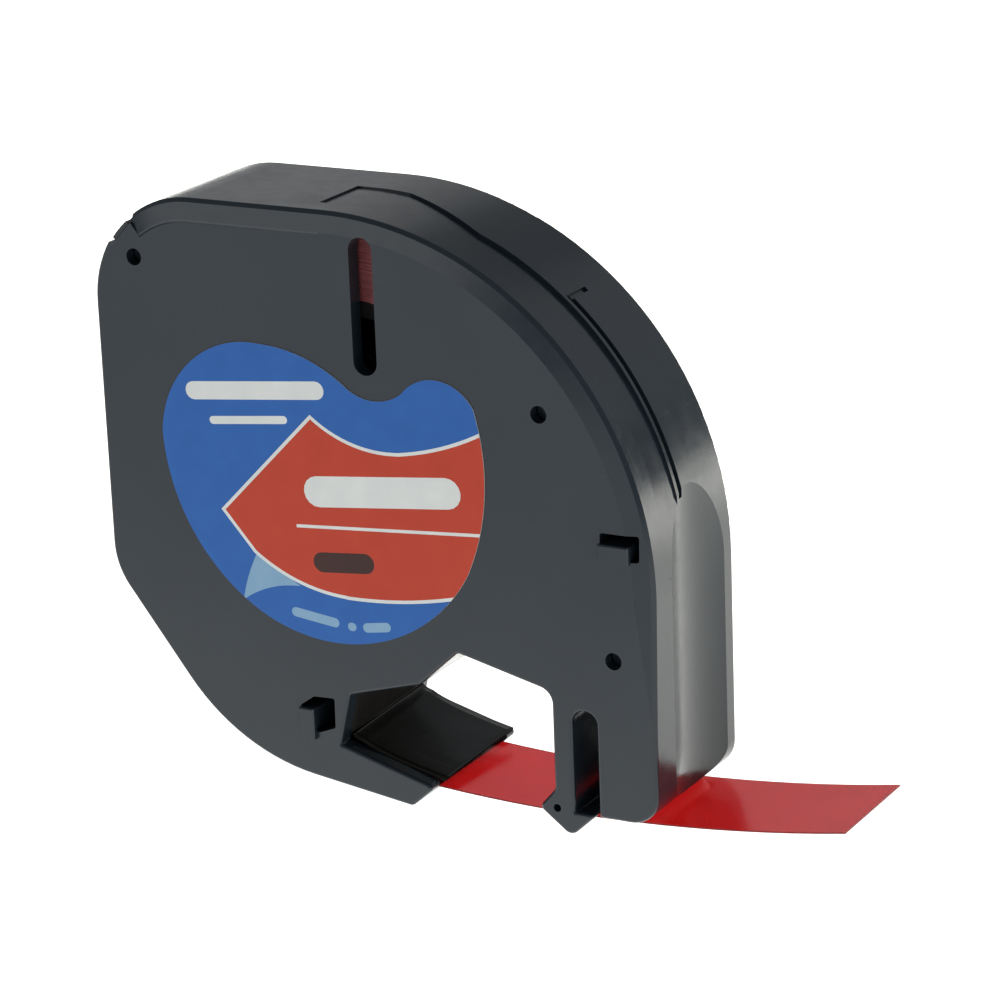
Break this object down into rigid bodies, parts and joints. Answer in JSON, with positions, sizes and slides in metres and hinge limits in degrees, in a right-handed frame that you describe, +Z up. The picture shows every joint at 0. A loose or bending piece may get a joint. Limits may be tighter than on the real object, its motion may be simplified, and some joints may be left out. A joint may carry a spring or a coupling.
{
  "type": "label tape cassette",
  "caption": "Snap-together cassette of 12 mm red label tape: sprung-braked spool, guide rollers, film guide leaf, open print head gap and cutter slot.",
  "frame": {"origin": "spool axis at the flat rear face of the case, at the mouth of the locating bore", "axes": "+X right and +Z up as seen from the labelled front, +Y out of the rear face along the spool axis"},
  "size_m": [0.0732, 0.0165, 0.0549],
  "materials": {
    "case_black": "fine-grained moulded charcoal polystyrene, edges slightly worn",
    "core_black": "plain moulded black, for the spool hub",
    "label_paper": "printed film label, blue and red",
    "tape_roll": "edges of wound red tape",
    "tape_red": "thin translucent red plastic tape",
    "slip_film": "milky low-friction film",
    "roller_white": "natural acetal",
    "pin_steel": "drawn steel wire",
    "clip_grey": "moulded grey acetal",
    "brake_felt": "dense wool felt",
    "leaf_film": "glossy black polyester film"
  },
  "bodies": {
    "case": {"front_cover": "case_black", "rear_shell": "case_black", "face_label": "label_paper", "rear_slip_disc": "slip_film", "tape_inner_run": "tape_red", "leaf_root": "leaf_film", "corner_roller_pin": "pin_steel", "exit_roller_pin": "pin_steel", "brake_pin": "pin_steel"},
    "spool": {"spool_hub": "core_black", "wound_tape": "tape_roll", "tape_clip": "clip_grey"},
    "free_strand": {"tape_lead": "tape_red"},
    "corner_guide": {"corner_roller": "roller_white"},
    "exit_guide": {"exit_roller": "roller_white"},
    "brake": {"brake_arm": "clip_grey", "brake_felt": "brake_felt"},
    "leaf": {"guide_leaf": "leaf_film"}
  },
  "joints": [
    {"name": "spool_spin", "type": "hinge", "parent": "case", "child": "spool", "pos_m": [0, 0, 0], "axis": [0, -1, 0], "range_deg": [0, 25.7]},
    {"name": "tape_feed", "type": "hinge", "parent": "case", "child": "free_strand", "pos_m": [0.0185, -0.008, 0.1312], "axis": [0, -1, 0], "range_deg": [0, 2.8]},
    {"name": "corner_roller_spin", "type": "hinge", "parent": "case", "child": "corner_guide", "pos_m": [-0.0126, -0.008, -0.0254], "axis": [0, -1, 0], "range_deg": [0, 192]},
    {"name": "exit_roller_spin", "type": "hinge", "parent": "case", "child": "exit_guide", "pos_m": [0.0271, -0.008, -0.03213], "axis": [0, -1, 0], "range_deg": [0, 328]},
    {"name": "brake_swing", "type": "hinge", "parent": "case", "child": "brake", "pos_m": [0.022, -0.008, -0.0058], "axis": [0, -1, 0], "range_deg": [0, 6], "stiffness_Nm_per_rad": 0.00005, "springref_deg": -17.19},
    {"name": "leaf_lift", "type": "hinge", "parent": "case", "child": "leaf", "pos_m": [-0.0019, -0.008, -0.02955], "axis": [0, -1, 0], "range_deg": [0, 12]}
  ],
  "couplings": [
    {"joint": "tape_feed", "follows": "spool_spin", "ratio": 0.10788},
    {"joint": "corner_roller_spin", "follows": "spool_spin", "ratio": 7.4167},
    {"joint": "exit_roller_spin", "follows": "spool_spin", "ratio": 12.714}
  ]
}
